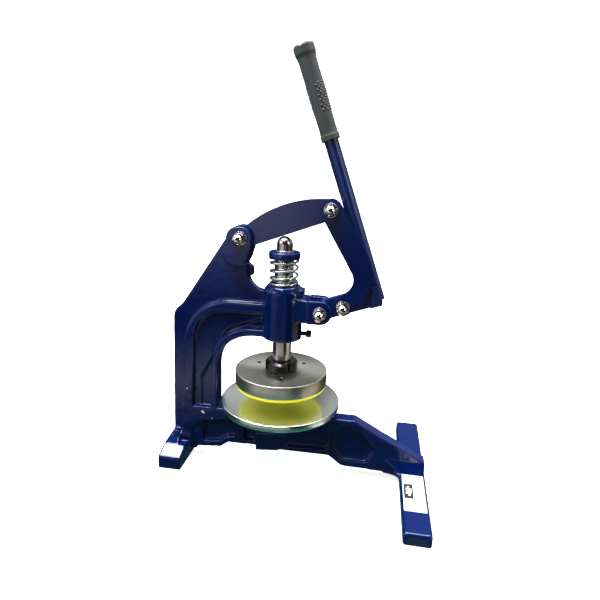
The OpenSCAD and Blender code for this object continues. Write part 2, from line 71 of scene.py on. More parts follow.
class Mat:
    """A small builder for node materials."""

    def __init__(self, name):
        self.m = bpy.data.materials.new(name)
        self.m.use_nodes = True
        self.t = self.m.node_tree
        self.n = self.t.nodes
        self.b = self.n["Principled BSDF"]
        self.geo = None

    def node(self, kind, **kw):
        x = self.n.new(kind)
        for k, v in kw.items():
            setattr(x, k, v)
        return x

    def link(self, a, b):
        self.t.links.new(a, b)

    def coords(self):
        if self.geo is None:
            self.geo = self.node("ShaderNodeTexCoord").outputs["Object"]
        return self.geo

    def mapping(self, scale=(1, 1, 1), loc=(0, 0, 0), rot=(0, 0, 0)):
        x = self.node("ShaderNodeMapping")
        x.inputs["Scale"].default_value = scale
        x.inputs["Location"].default_value = loc
        x.inputs["Rotation"].default_value = rot
        self.link(self.coords(), x.inputs["Vector"])
        return x.outputs[0]

    def noise(self, scale, detail=4.0, rough=0.55, vector=None, distortion=0.0):
        x = self.node("ShaderNodeTexNoise")
        x.inputs["Scale"].default_value = scale
        x.inputs["Detail"].default_value = detail
        x.inputs["Roughness"].default_value = rough
        x.inputs["Distortion"].default_value = distortion
        self.link(vector or self.coords(), x.inputs["Vector"])
        return x.outputs["Fac"]

    def voronoi(self, scale, vector=None, feature="F1", out="Distance", rand=1.0):
        x = self.node("ShaderNodeTexVoronoi")
        x.feature = feature
        x.inputs["Scale"].default_value = scale
        x.inputs["Randomness"].default_value = rand
        self.link(vector or self.coords(), x.inputs["Vector"])
        return x.outputs[out]

    def ramp(self, fac, stops, mode="LINEAR"):
        x = self.node("ShaderNodeValToRGB")
        x.color_ramp.interpolation = mode
        e = x.color_ramp.elements
        while len(e) < len(stops):
            e.new(0.5)
        for s, (p, c) in zip(e, stops):
            s.position = p
            s.color = (c[0], c[1], c[2], 1.0) if hasattr(c, "__len__") else (c, c, c, 1.0)
        self.link(fac, x.inputs["Fac"])
        return x.outputs["Color"]

    def math(self, op, a, b=None, clamp=False):
        x = self.node("ShaderNodeMath", operation=op, use_clamp=clamp)
        for i, v in enumerate((a, b)):
            if v is None:
                continue
            if isinstance(v, (int, float)):
                x.inputs[i].default_value = v
            else:
                self.link(v, x.inputs[i])
        return x.outputs[0]

    def mix(self, fac, a, b, kind="MIX"):
        x = self.node("ShaderNodeMix", data_type="RGBA", blend_type=kind)
        for sock, v in ((x.inputs[0], fac), (x.inputs[6], a), (x.inputs[7], b)):
            if isinstance(v, (int, float)):
                sock.default_value = v
            elif isinstance(v, tuple):
                sock.default_value = (v[0], v[1], v[2], 1.0)
            else:
                self.link(v, sock)
        return x.outputs[2]

    def bump(self, height, strength, distance, normal=None):
        x = self.node("ShaderNodeBump")
        x.inputs["Strength"].default_value = strength
        x.inputs["Distance"].default_value = distance
        self.link(height, x.inputs["Height"])
        if normal is not None:
            self.link(normal, x.inputs["Normal"])
        return x.outputs[0]

    def set(self, name, v):
        sock = self.b.inputs[name]
        if isinstance(v, (int, float)):
            sock.default_value = v
        elif isinstance(v, tuple):
            sock.default_value = (v[0], v[1], v[2], 1.0)
        else:
            self.link(v, sock)

    def separate(self, vector):
        x = self.node("ShaderNodeSeparateXYZ")
        self.link(vector, x.inputs[0])
        return x.outputs


def enamel(name, deep, light, rough=0.16, cast=True, chips=(), coat=0.20, spec=0.38):
    """Thick glossy enamel: waves of the casting, orange peel, uneven gloss, dust in the pores and small chips."""
    m = Mat(name)
    broad = m.noise(18, 3, 0.5)
    fine = m.noise(420, 3, 0.6)
    peel = m.noise(260, 2, 0.5)
    colour = m.mix(m.ramp(broad, [(0.3, 0.0), (0.75, 1.0)]), deep, light)
    colour = m.mix(m.ramp(fine, [(0.35, 0.0), (0.8, 0.22)]), colour, tuple(min(1, c * 1.4) for c in light))
    lustre = m.ramp(m.noise(35, 4), [(0.3, rough), (0.75, rough + 0.08)])
    if cast:
        # rare pin holes where the paint missed the sand's pores
        cell = m.voronoi(95, out="Distance")
        spot = m.ramp(m.math("ADD", cell, m.math("MULTIPLY", m.noise(700, 2), 0.05)), [(0.030, 1.0), (0.040, 0.0)])
        rare = m.ramp(m.noise(14, 2), [(0.64, 0.0), (0.67, 1.0)])
        chip = m.math("MULTIPLY", spot, rare)
        ragged = m.math("MULTIPLY", m.math("SUBTRACT", m.noise(1100, 3, 0.6), 0.5), 0.0022)
        for x, y, z, r in chips:
            d = m.node("ShaderNodeVectorMath", operation="DISTANCE")
            m.link(m.coords(), d.inputs[0])
            d.inputs[1].default_value = tuple(P(x, y, z))
            hit = m.ramp(m.math("DIVIDE", m.math("ADD", d.outputs["Value"], ragged), r / 1000.0), [(0.86, 1.0), (1.0, 0.0)])
            chip = m.math("MAXIMUM", chip, hit)
        colour = m.mix(chip, colour, (0.80, 0.81, 0.84))
        lustre = m.math("ADD", m.math("MULTIPLY", chip, 0.35), lustre)
    m.set("Roughness", lustre)
    m.set("Base Color", colour)
    n = m.bump(peel, 0.10, 0.0005)
    if cast:
        n = m.bump(m.noise(75, 4, 0.6), 0.28, 0.0008, n)
    m.set("Normal", n)
    m.set("Specular IOR Level", spec)
    m.set("Coat Weight", coat)
    m.set("Coat Roughness", 0.05)
    return m.m


def turned_steel(name, base, rough, centre, pitch=0.0011, tint=None, aniso=0.5, stain=0.3, cloud=0.05, groove=0.03, ringed=0.25, painted_hole_shade=(), side=None, specks=0.18):
    """A lathe-turned face: fine rings round the axis, smudges, and slight stain."""
    m = Mat(name)
    v = m.mapping(loc=(-centre[0], -centre[1], 0))
    x, y, z = m.separate(v)[:3]
    r = m.math("SQRT", m.math("ADD", m.math("MULTIPLY", x, x), m.math("MULTIPLY", y, y)))
    ring = m.node("ShaderNodeTexNoise", noise_dimensions="2D")
    ring.inputs["Scale"].default_value = 1.0
    ring.inputs["Detail"].default_value = 1.5
    comb = m.node("ShaderNodeCombineXYZ")
    m.link(m.math("DIVIDE", r, pitch), comb.inputs[0])
    m.link(m.math("DIVIDE", z, pitch), comb.inputs[1])
    m.link(comb.outputs[0], ring.inputs["Vector"])
    smudge = m.noise(26, 5, 0.6)
    spots = m.noise(240, 3, 0.6)
    dark = tuple(c * 0.80 for c in base)
    colour = m.mix(m.ramp(smudge, [(0.32, 0.0), (0.72, stain)]), base, tint or dark)
    colour = m.mix(m.ramp(ring.outputs["Fac"], [(0.3, 0.0), (0.7, ringed)]), colour, dark)
    colour = m.mix(m.ramp(spots, [(0.62, 0.0), (0.72, specks)]), colour, tuple(c * 0.6 for c in base))
    if side:
        # the turned rim is cut with another feed than the face
        nz = m.math("ABSOLUTE", m.separate(m.node("ShaderNodeNewGeometry").outputs["Normal"])[2])
        colour = m.mix(m.math("LESS_THAN", nz, 0.6), colour, m.mix(1.0, colour, side, "MULTIPLY"))
    for hx, hy, hr, top in painted_hole_shade:
        # painted shade: the insides of the drilled holes are painted near black, for the shade in them
        dx = m.math("SUBTRACT", x, hx)
        dy = m.math("SUBTRACT", y, hy)
        d = m.math("SQRT", m.math("ADD", m.math("MULTIPLY", dx, dx), m.math("MULTIPLY", dy, dy)))
        inside = m.math("MULTIPLY", m.math("LESS_THAN", d, hr), m.math("LESS_THAN", z, top))
        colour = m.mix(inside, colour, (0.012, 0.012, 0.013))
    m.set("Base Color", colour)
    m.set("Metallic", 1.0)
    m.set("Roughness", m.math("ADD", m.ramp(smudge, [(0.3, rough), (0.75, rough + cloud)]), m.math("MULTIPLY", m.ramp(ring.outputs["Fac"], [(0.35, 0.0), (0.7, 1.0)]), 0.2 * ringed)))
    m.set("Normal", m.bump(ring.outputs["Fac"], groove, 0.0002))
    m.b.inputs["Anisotropic"].default_value = aniso
    tan = m.node("ShaderNodeTangent", direction_type="RADIAL", axis="Z")
    m.link(tan.outputs[0], m.b.inputs["Tangent"])
    return m.m


def plain_metal(name, base, rough, bump=0.05, scale=900, spread=0.08, dark=0.75, painted_underside_reflection=None):
    m = Mat(name)
    a = m.noise(60, 4, 0.6)
    f = m.noise(scale, 3, 0.6)
    colour = m.mix(m.ramp(a, [(0.3, 0.0), (0.75, 1.0)]), base, tuple(c * dark for c in base))
    if painted_underside_reflection:
        # painted reflection: faces that look down are tinted warm brown, standing in for the warm reflection on the
        # underside
        nz = m.separate(m.node("ShaderNodeNewGeometry").outputs["Normal"])[2]
        low = m.ramp(m.math("MULTIPLY", nz, -1.0), [(0.12, 0.0), (0.50, 1.0)])
        colour = m.mix(low, colour, painted_underside_reflection)
    m.set("Base Color", colour)
    m.set("Metallic", 1.0)
    m.set("Roughness", m.ramp(a, [(0.3, rough), (0.75, rough + spread)]))
    m.set("Normal", m.bump(f, bump, 0.0003))
    return m.m


def black_oxide(name):
    m = Mat(name)
    a = m.noise(70, 4, 0.6)
    f = m.noise(900, 3, 0.6)
    m.set("Base Color", m.mix(m.ramp(a, [(0.3, 0.0), (0.75, 1.0)]), (0.010, 0.010, 0.011), (0.028, 0.026, 0.026)))
    m.set("Metallic", 0.35)
    m.set("Roughness", m.ramp(a, [(0.3, 0.16), (0.75, 0.3)]))
    m.set("Normal", m.bump(f, 0.08, 0.0003))
    return m.m


def pad_yellow(name):
    m = Mat(name)
    a = m.noise(50, 4, 0.6)
    f = m.noise(1200, 3, 0.6)
    # painted light: faces that look down are painted darker as painted shade under the pad, and all other faces glow
    # yellow through emission as a painted glow
    side = m.separate(m.node("ShaderNodeNewGeometry").outputs["Normal"])[2]
    edge = m.math("GREATER_THAN", side, -0.6)
    colour = m.mix(m.ramp(a, [(0.3, 0.0), (0.75, 1.0)]), (0.95, 0.88, 0.002), (0.84, 0.78, 0.004))
    m.set("Base Color", m.mix(edge, m.mix(1.0, colour, (0.66, 0.66, 0.66), "MULTIPLY"), colour))
    m.set("Roughness", m.ramp(a, [(0.3, 0.35), (0.75, 0.5)]))
    # painted glow: every face of the pad that does not look down gives off yellow light
    m.set("Emission Color", (1.0, 0.90, 0.0))
    m.set("Emission Strength", m.math("MULTIPLY", edge, 0.55))
    m.set("Subsurface Weight", 0.15)
    m.b.inputs["Subsurface Radius"].default_value = (0.002, 0.002, 0.0005)
    m.set("Normal", m.bump(f, 0.1, 0.0002))
    return m.m


def grip_rubber(name):
    m = Mat(name)
    a = m.noise(45, 4, 0.6)
    f = m.noise(1500, 3, 0.65)
    pore = m.voronoi(1300, feature="F1")
    colour = m.mix(m.ramp(a, [(0.3, 0.0), (0.75, 1.0)]), (0.040, 0.043, 0.046), (0.062, 0.066, 0.069))
    dust = m.ramp(m.noise(190, 5, 0.7), [(0.60, 0.0), (0.78, 0.35)])
    m.set("Base Color", m.mix(dust, colour, (0.15, 0.155, 0.16)))
    m.set("Roughness", m.ramp(a, [(0.3, 0.42), (0.75, 0.56)]))
    n = m.bump(f, 0.18, 0.0003)
    m.set("Normal", m.bump(pore, 0.10, 0.0002, n))
    m.set("Sheen Weight", 0.08)
    return m.m


def label_film(name):
    m = Mat(name)
    a = m.noise(60, 3, 0.5)
    white = m.mix(m.ramp(a, [(0.3, 0.0), (0.75, 1.0)]), (0.90, 0.90, 0.90), (0.80, 0.81, 0.83))
    # a clear margin along the foot's outer edge, through which the enamel shows
    margin = m.math("GREATER_THAN", m.separate(m.coords())[0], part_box("foot_label")[1][0] - 0.0012)
    m.set("Base Color", m.mix(margin, white, NAVY_LIGHT))
    m.set("Roughness", m.ramp(a, [(0.3, 0.35), (0.75, 0.5)]))
    m.set("Normal", m.bump(m.noise(900, 2), 0.05, 0.0002))
    return m.m


def print_ink(name):
    m = Mat(name)
    a = m.noise(900, 3, 0.6)
    m.set("Base Color", m.mix(m.ramp(a, [(0.3, 0.0), (0.75, 1.0)]), (0.015, 0.015, 0.018), (0.05, 0.05, 0.055)))
    m.set("Roughness", m.ramp(a, [(0.3, 0.55), (0.75, 0.7)]))
    m.set("Specular IOR Level", 0.15)
    return m.m


NAVY, NAVY_LIGHT = (0.0009, 0.0076, 0.070), (0.0014, 0.0115, 0.094)
CHIPS = [(-87.0, -11, 60.0, 1.7), (-85.6, -11, 58.6, 1.1), (-104.9, -11, 87.0, 0.9), (-76.0, -11, 53.0, 0.6), (-52.0, -8, 49.0, 0.6)]
M_CAST = enamel("enamel_casting", NAVY, NAVY_LIGHT, 0.10, cast=True, chips=CHIPS)
M_ARM = enamel("enamel_arm", (0.0040, 0.0095, 0.070), (0.0060, 0.0130, 0.090), 0.26, cast=True, coat=0.5)
M_LINK = enamel("enamel_link", NAVY, NAVY_LIGHT, 0.16, cast=False)
M_LEVER = enamel("enamel_lever", (0.0036, 0.0135, 0.090), (0.0048, 0.0185, 0.115), 0.28, cast=False, coat=0.3)
M_COLLAR = enamel("enamel_collar", (0.002, 0.013, 0.10), (0.003, 0.019, 0.13), 0.13, cast=False)
M_PRESS = turned_steel("ground_plate", (0.54, 0.53, 0.49), 0.32, (-OX, 0), pitch=0.0022, aniso=0.4, stain=0.12, cloud=0.02, specks=0.04, side=(1.35, 1.33, 1.24), groove=0.0, ringed=0.05,
                       painted_hole_shade=[(0.029 * math.cos(math.radians(a)), 0.029 * math.sin(math.radians(a)), 0.0025, 0.1179) for a in (-80, 40, 160)])
M_ANVIL = turned_steel("zinc_plate", (0.97, 1.0, 0.97), 0.22, (-OX, 0), pitch=0.0030, tint=(0.86, 0.98, 0.94), aniso=0.15, stain=0.5, specks=0.10, side=(0.70, 0.78, 0.72), groove=0.0, ringed=0.05)
M_RAM = plain_metal("ground_steel", (0.72, 0.70, 0.66), 0.15, 0.03, 500)
M_NUT = plain_metal("chrome_nut", (0.90, 0.87, 0.82), 0.10, 0.04, 400, 0.06, painted_underside_reflection=(0.34, 0.20, 0.11))
M_ZINC = plain_metal("zinc_fastener", (0.70, 0.70, 0.70), 0.24, 0.08, 700)
M_SPRING = plain_metal("spring_wire", (0.72, 0.72, 0.74), 0.24, 0.04, 700)
M_BLACK = black_oxide("black_oxide")
M_PAD = pad_yellow("yellow_pad")
M_GRIP = grip_rubber("grip_rubber")
M_LABEL = label_film("label_film")
M_INK = print_ink("print_ink")

BY_SLOT = {
    "enamel_casting": M_CAST, "enamel_arm": M_ARM, "enamel_link": M_LINK, "enamel_lever": M_LEVER, "enamel_collar": M_COLLAR,
    "ground_plate": M_PRESS, "zinc_plate": M_ANVIL, "ground_steel": M_RAM, "chrome_nut": M_NUT, "zinc_fastener": M_ZINC,
    "spring_wire": M_SPRING, "black_oxide": M_BLACK, "yellow_pad": M_PAD, "grip_rubber": M_GRIP, "label_film": M_LABEL,
}


def paint(ob, mat):
    ob.data.materials.clear()
    ob.data.materials.append(mat)


for part in frame["record"]["subparts"]:
    paint(NODES[part["node"]], BY_SLOT[part["material_slot"]])


def soften(node, width, segments=2, angle=32):
    """Small rounded edges on a CAD node, as modifiers, so its own mesh stays as packed."""
    ob = NODES[node]
    weld = ob.modifiers.new("weld", "WELD")
    weld.merge_threshold = 0.000002
    b = ob.modifiers.new("edges", "BEVEL")
    b.width = width
    b.segments = segments
    b.limit_method = "ANGLE"
    b.angle_limit = math.radians(angle)
    b.harden_normals = False
    b.use_clamp_overlap = True
    for p in ob.data.polygons:
        p.use_smooth = True
    w = ob.modifiers.new("normals", "WEIGHTED_NORMAL")
    w.keep_sharp = True
    return ob


for n, w in (("upper_arm", 0.0010), ("link_plate", 0.0009), ("lever_bar", 0.0008), 
             ("ram_lock_nut", 0.0004), ("guide_screw", 0.0004)):
    soften(n, w)
for n in ("arm_pivot_nut", "lever_pivot_nut", "link_nut", "crank_nut", "arm_pivot_bolt", "lever_pivot_bolt", "link_bolt", "crank_bolt"):
    soften(n, 0.0003)
for n in ("arm_pivot_washers", "lever_pivot_washers", "link_washers", "crank_washers", "link_spacer", "crank_spacer", "retaining_ring", "lower_plate_washer"):
    soften(n, 0.00015)


# ------------------------------------------------------------------ casting with drafted, rounded edges
def cast_copy(nodes, name, voxel, rounds):
    """One skin over the casting's nodes, with the sharp edges rounded as a sand casting has them."""
    bm = bmesh.new()
    for node, sink in nodes:
        first = len(bm.verts)
        bm.from_mesh(NODES[node].data)
        bm.verts.ensure_lookup_table()
        if sink is not None:
            # the flat face where the head stands on the bed goes a little into the bed, so the skin closes over it
            for v in bm.verts[first:]:
                if v.co.z < sink + 0.0002:
                    v.co.z -= 0.004
    me = bpy.data.meshes.new(name)
    bm.to_mesh(me)
    bm.free()
    ob = new_object(name, me)
    r = ob.modifiers.new("voxels", "REMESH")
    r.mode = "VOXEL"
    r.voxel_size = voxel
    s = ob.modifiers.new("smooth", "SMOOTH")
    s.factor = 0.5
    s.iterations = rounds
    bpy.context.view_layer.update()
    dg = bpy.context.evaluated_depsgraph_get()
    made = bpy.data.meshes.new_from_object(ob.evaluated_get(dg))
    ob.modifiers.clear()
    ob.data = made
    for p in made.polygons:
        p.use_smooth = True
    return ob


head_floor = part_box("frame_casting")[0][2]
casting = cast_copy([("frame_casting", head_floor), ("bed_casting", None)], "cast_frame", 0.0008, 6)
paint(casting, M_CAST)
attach(casting, "frame")
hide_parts("frame_casting", "bed_casting")


# ------------------------------------------------------------------ turned parts
def evaluated(ob):
    bpy.context.view_layer.update()
    dg = bpy.context.evaluated_depsgraph_get()
    made = bpy.data.meshes.new_from_object(ob.evaluated_get(dg))
    ob.modifiers.clear()
    ob.data = made
    return ob


def smooth_by_angle(me, angle=30):
    for p in me.polygons:
        p.use_smooth = True
    me.set_sharp_from_angle(angle=math.radians(angle))


def rounded_profile(points, steps=4):
    """Corners of a profile (r, z, radius) as short arcs."""
    out = []
    for i, (x, z, rad) in enumerate(points):
        if rad <= 0 or i in (0, len(points) - 1):
            out.append((x, z))
            continue
        p = Vector((x, z))
        u = (Vector(points[i - 1][:2]) - p).normalized()
        v = (Vector(points[i + 1][:2]) - p).normalized()
        half = math.acos(max(-1, min(1, u.dot(v)))) / 2
        d = rad / math.tan(half)
        c = p + (u + v).normalized() * rad / math.sin(half)
        a, b = p + u * d - c, p + v * d - c
        a0 = math.atan2(a.y, a.x)
        da = math.atan2(b.y, b.x) - a0
        da = (da + math.pi) % (2 * math.pi) - math.pi
        for k in range(steps + 1):
            t = a0 + da * k / steps
            out.append((c.x + rad * math.cos(t), c.y + rad * math.sin(t)))
    return out


def lathe(name, points, segments=128, centre=(0, 0)):
    """A closed turned body round a vertical axis, in millimetres from the ram axis."""
    prof = rounded_profile(points)
    bm = bmesh.new()
    rings = []
    for r, z in prof:
        if r < 1e-6:
            rings.append([bm.verts.new(P(centre[0], centre[1], z))])
        else:
            rings.append([bm.verts.new(P(centre[0] + r * math.cos(2 * math.pi * k / segments), centre[1] + r * math.sin(2 * math.pi * k / segments), z)) for k in range(segments)])
    pairs = list(zip(rings, rings[1:]))
    if len(rings[0]) > 1 and len(rings[-1]) > 1:
        pairs.append((rings[-1], rings[0]))
    for a, b in pairs:
        for k in range(segments):
            j = (k + 1) % segments
            if len(a) == 1 and len(b) > 1:
                bm.faces.new((a[0], b[j], b[k]))
            elif len(b) == 1 and len(a) > 1:
                bm.faces.new((a[k], a[j], b[0]))
            elif len(a) > 1:
                bm.faces.new((a[k], a[j], b[j], b[k]))
    bmesh.ops.recalc_face_normals(bm, faces=bm.faces)
    me = bpy.data.meshes.new(name)
    bm.to_mesh(me)
    bm.free()
    smooth_by_angle(me)
    return new_object(name, me)


def cut(ob, cutters):
    for c in cutters:
        b = ob.modifiers.new("cut", "BOOLEAN")
        b.operation = "DIFFERENCE"
        b.solver = "EXACT"
        b.object = c
        evaluated(ob)
        bpy.data.objects.remove(c, do_unlink=True)
    smooth_by_angle(ob.data)
    return ob


def stands_for(ob, mat, body, slot, *nodes):
    paint(ob, mat)
    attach(ob, body)
    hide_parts(*nodes)
    return ob


anvil = lathe("anvil_disc", [(0, 81.5, 0), (4.05, 81.5, 0), (4.05, 76, 0), (65, 76, 0.6), (65, 83, 0.9), (0, 83, 0)], 192)
stands_for(anvil, M_ANVIL, "frame", "zinc_plate", "lower_plate")

press = lathe("press_disc", [(0, 103.5, 0), (50, 103.5, 0.4), (50, 118, 0.8), (8, 118, 0.3), (8, 105.8, 0), (0, 105.8, 0)], 192)
drills = []
for deg in (-80, 40, 160):
    t = math.radians(deg)
    drills.append(lathe("drill", [(0, 109, 0), (2.1, 109.6, 0), (2.1, 117.7, 0), (2.5, 118.1, 0), (2.5, 120, 0), (0, 120, 0)], 32, (29 * math.cos(t), 29 * math.sin(t))))
cut(press, drills)
stands_for(press, M_PRESS, "ram", "ground_plate", "pressure_plate")

ring = lathe("collar_ring", [(8.4, 240, 0), (16.3, 240, 0.9), (16.3, 247, 1.1), (8.4, 247, 0.4)], 96)
stands_for(ring, M_COLLAR, "ram", "enamel_collar", "spring_collar")


# ------------------------------------------------------------------ spring
def tube_mesh(name, points, radius, sides=12, closed=False):
    """A round tube along points, with frames carried along the path."""
    bm = bmesh.new()
    rings = []
    n = len(points)
    up = Vector((0, 0, 1))
    for i, p in enumerate(points):
        a = points[max(i - 1, 0)]
        b = points[min(i + 1, n - 1)]
        t = (b - a).normalized()
        s = t.cross(up)
        if s.length < 1e-4:
            s = t.cross(Vector((1, 0, 0)))
        s.normalize()
        q = s.cross(t).normalized()
        rings.append([bm.verts.new(p + (s * math.cos(2 * math.pi * k / sides) + q * math.sin(2 * math.pi * k / sides)) * radius) for k in range(sides)])
    for a, b in zip(rings, rings[1:]):
        for k in range(sides):
            bm.faces.new((a[k], a[(k + 1) % sides], b[(k + 1) % sides], b[k]))
    bm.faces.new(list(reversed(rings[0])))
    bm.faces.new(rings[-1])
    bm.normal_update()
    me = bpy.data.meshes.new(name)
    bm.to_mesh(me)
    bm.free()
    for p in me.polygons:
        p.use_smooth = True
    return me


SHARES = [0.3, 1.5, 3.8, 3.6, 3.9, 4.1, 4.4, 3.0, 0.8]
WIRE, COIL_OD, SZ0, SZ1 = 2.6, 31.0, 212.0, 240.0
gain = (SZ1 - SZ0 - WIRE) / sum(SHARES)
heights = [0.0]
for share in SHARES:
    heights.append(heights[-1] + share * gain)
path = []
per = 36
R = (COIL_OD - WIRE) / 2
for k in range(len(SHARES)):
    for i in range(per + (1 if k == len(SHARES) - 1 else 0)):
        f = i / per
        # a smooth climb that keeps each half turn's share of the height
        m0 = (SHARES[max(k - 1, 0)] + SHARES[k]) / 2 * gain
        m1 = (SHARES[k] + SHARES[min(k + 1, len(SHARES) - 1)]) / 2 * gain
        h0, h1 = heights[k], heights[k + 1]
        z = h0 * (2 * f**3 - 3 * f**2 + 1) + m0 * (f**3 - 2 * f**2 + f) + h1 * (-2 * f**3 + 3 * f**2) + m1 * (f**3 - f**2)
        a = math.pi * (k + f)
        path.append(P(R * math.cos(a), R * math.sin(a), SZ0 + WIRE / 2 + z))
spring = new_object("spring_coil", tube_mesh("spring_coil", path, WIRE / 2000.0, 16))
paint(spring, M_SPRING)
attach(spring, "frame")
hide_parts("return_spring")
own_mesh(spring)


# ------------------------------------------------------------------ moulded grip
N3X, N3Z, TILT, TUBE_U = 40.6, 187.6, math.radians(20.25), 59.8


def lever_point(u, y, w):
    """Along the bar, across it, and along the handle, from the lever's pivot, to the row frame."""
    return P(N3X + u * math.cos(TILT) - w * math.sin(TILT), y, N3Z + u * math.sin(TILT) + w * math.cos(TILT))


def step01(v, a, b):
    t = max(0.0, min(1.0, (v - a) / (b - a)))
    return t * t * (3 - 2 * t)


GRIP = rounded_profile([(7.03, 158.5, 0), (9.2, 158.5, 0.8), (9.2, 163.2, 0.5), (8.75, 164.6, 0.6), (9.0, 200, 20), (9.1, 235.2, 0.5), (10.1, 238.6, 0.8), (10.2, 247.65, 3.4), (2.0, 247.65, 0.5), (0, 247.65, 0)], 5)


def grip_mesh(name, round_steps, long_step):
    prof = [GRIP[0]]
    for a, b in zip(GRIP, GRIP[1:]):
        n = max(1, int(math.hypot(b[0] - a[0], b[1] - a[1]) / long_step))
        prof += [(a[0] + (b[0] - a[0]) * k / n, a[1] + (b[1] - a[1]) * k / n) for k in range(1, n + 1)]
    pips = [(math.radians(s - 77 + k * 14.5), 186 + i * 4.5 + (k % 2) * 2.25, 1.0 if k in (0, 8) else 0.85) for s in (0, 180) for k in range(7 if s else 9) for i in range(6)]
    bm = bmesh.new()
    rows = []
    for r, w in prof:
        if r < 1e-6:
            rows.append([bm.verts.new(lever_point(TUBE_U, 0, w))])
            continue
        row = []
        near = [p for p in pips if abs(p[1] - w) < 1.4] if 7.5 < r < 9.6 else []
        for k in range(round_steps):
            t = 2 * math.pi * k / round_steps
            rr = r
            # flatter side panels between two soft ridges
            if 8.0 < r and w < 238:
                off = abs((math.degrees(t) + 19 + 90) % 180 - 90)
                side = 1 - step01(off, 57, 66)
                along = step01(w, 164, 170) * (1 - step01(w, 231, 236))
                rr -= 0.32 * side * along
            for pt, pw, pr in near:
                da = (t - pt + math.pi) % (2 * math.pi) - math.pi
                d = math.hypot(da * r, w - pw) / pr
                if d < 1.25:
                    rr += 0.75 * (1 - step01(d, 0.45, 1.25))
            h = w
            # shallow groove over the closed end
            if w > 243 and r > 0.5:
                h -= 1.3 * math.exp(-((r * math.cos(t) + 1.5) / 1.7) ** 2) * step01(w, 243, 247.5)
            row.append(bm.verts.new(lever_point(TUBE_U + rr * math.cos(t), rr * math.sin(t), h)))
        rows.append(row)
    n = round_steps
    inner = [bm.verts.new(lever_point(TUBE_U + 7.03 * math.cos(2 * math.pi * k / n), 7.03 * math.sin(2 * math.pi * k / n), 240.1)) for k in range(n)]
    cap = bm.verts.new(lever_point(TUBE_U, 0, 240.1))
    for a, b in zip(rows, rows[1:]):
        for k in range(n):
            j = (k + 1) % n
            if len(b) == 1:
                bm.faces.new((a[k], a[j], b[0]))
            else:
                bm.faces.new((a[k], a[j], b[j], b[k]))
    for k in range(n):
        j = (k + 1) % n
        bm.faces.new((rows[0][j], rows[0][k], inner[k], inner[j]))
        bm.faces.new((inner[j], inner[k], cap))
    bmesh.ops.recalc_face_normals(bm, faces=bm.faces)
    me = bpy.data.meshes.new(name)
    bm.to_mesh(me)
    bm.free()
    smooth_by_angle(me, 50)
    return new_object(name, me)


grip = grip_mesh("grip_sleeve", 200, 0.36)
stands_for(grip, M_GRIP, "lever", "grip_rubber", "handle_grip")


# ------------------------------------------------------------------ generic print on the foot's label
def print_marks():
    """A plain dark block with a worn middle, and a few dots beside it; it spells nothing."""
    bm = bmesh.new()
    top = 12.94

    def slab(x0, x1, y0, y1):
        v = [bm.verts.new(P(x, y, z)) for z in (12.905, top) for x, y in ((x0, y0), (x1, y0), (x1, y1), (x0, y1))]
        for f in ((0, 3, 2, 1), (4, 5, 6, 7), (0, 1, 5, 4), (1, 2, 6, 5), (2, 3, 7, 6), (3, 0, 4, 7)):
            bm.faces.new([v[i] for i in f])

    def disc(x, y, r, hole=0.0, n=28):
        loops = []
        for z in (12.905, top):
            for rad in ((r, hole) if hole else (r,)):
                loops.append([bm.verts.new(P(x + rad * math.cos(2 * math.pi * k / n), y + rad * math.sin(2 * math.pi * k / n), z)) for k in range(n)])
        if not hole:
            lo, hi = loops
            bm.faces.new(list(reversed(lo)))
            bm.faces.new(hi)
            for k in range(n):
                j = (k + 1) % n
                bm.faces.new((lo[k], lo[j], hi[j], hi[k]))
            return
        lo, li, ho, hi = loops
        for k in range(n):
            j = (k + 1) % n
            bm.faces.new((lo[j], lo[k], li[k], li[j]))
            bm.faces.new((ho[k], ho[j], hi[j], hi[k]))
            bm.faces.new((lo[k], lo[j], ho[j], ho[k]))
            bm.faces.new((li[j], li[k], hi[k], hi[j]))

    # a solid block whose middle is worn away in uneven steps
    rows = (
        (-29.6, -33.6, ((140.0, 149.4),)),
        (-33.6, -36.6, ((140.0, 143.4), (145.6, 149.4))),
        (-36.6, -39.8, ((140.0, 142.1), (147.8, 149.4))),
        (-39.8, -42.6, ((140.0, 142.7), (144.4, 145.9), (148.2, 149.4))),
        (-42.6, -46.0, ((140.0, 142.0), (147.3, 149.4))),
        (-46.0, -48.8, ((140.0, 144.3), (146.6, 149.4))),
        (-48.8, -53.4, ((140.0, 149.4),)),
    )
    for y1, y0, spans in rows:
        for x0, x1 in spans:
            slab(x0, x1, y0, y1)
    for x, y, r in ((154.0, -36.5, 0.45), (156.4, -38.5, 0.35), (153.6, -50.8, 0.5), (156.8, -52.4, 0.35), (154.8, -47.6, 0.3)):
        disc(x, y, r, n=14)
    bmesh.ops.recalc_face_normals(bm, faces=bm.faces)
    me = bpy.data.meshes.new("label_marks")
    bm.to_mesh(me)
    bm.free()
    return new_object("label_marks", me)


marks = print_marks()
paint(marks, M_INK)
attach(marks, "frame")


# ------------------------------------------------------------------ floor, light, camera
def flat(name, size, loc):
    bm = bmesh.new()
    bmesh.ops.create_grid(bm, x_segments=1, y_segments=1, size=size)
    me = bpy.data.meshes.new(name)
    bm.to_mesh(me)
    bm.free()
    ob = new_object(name, me)
    ob.location = loc
    return ob


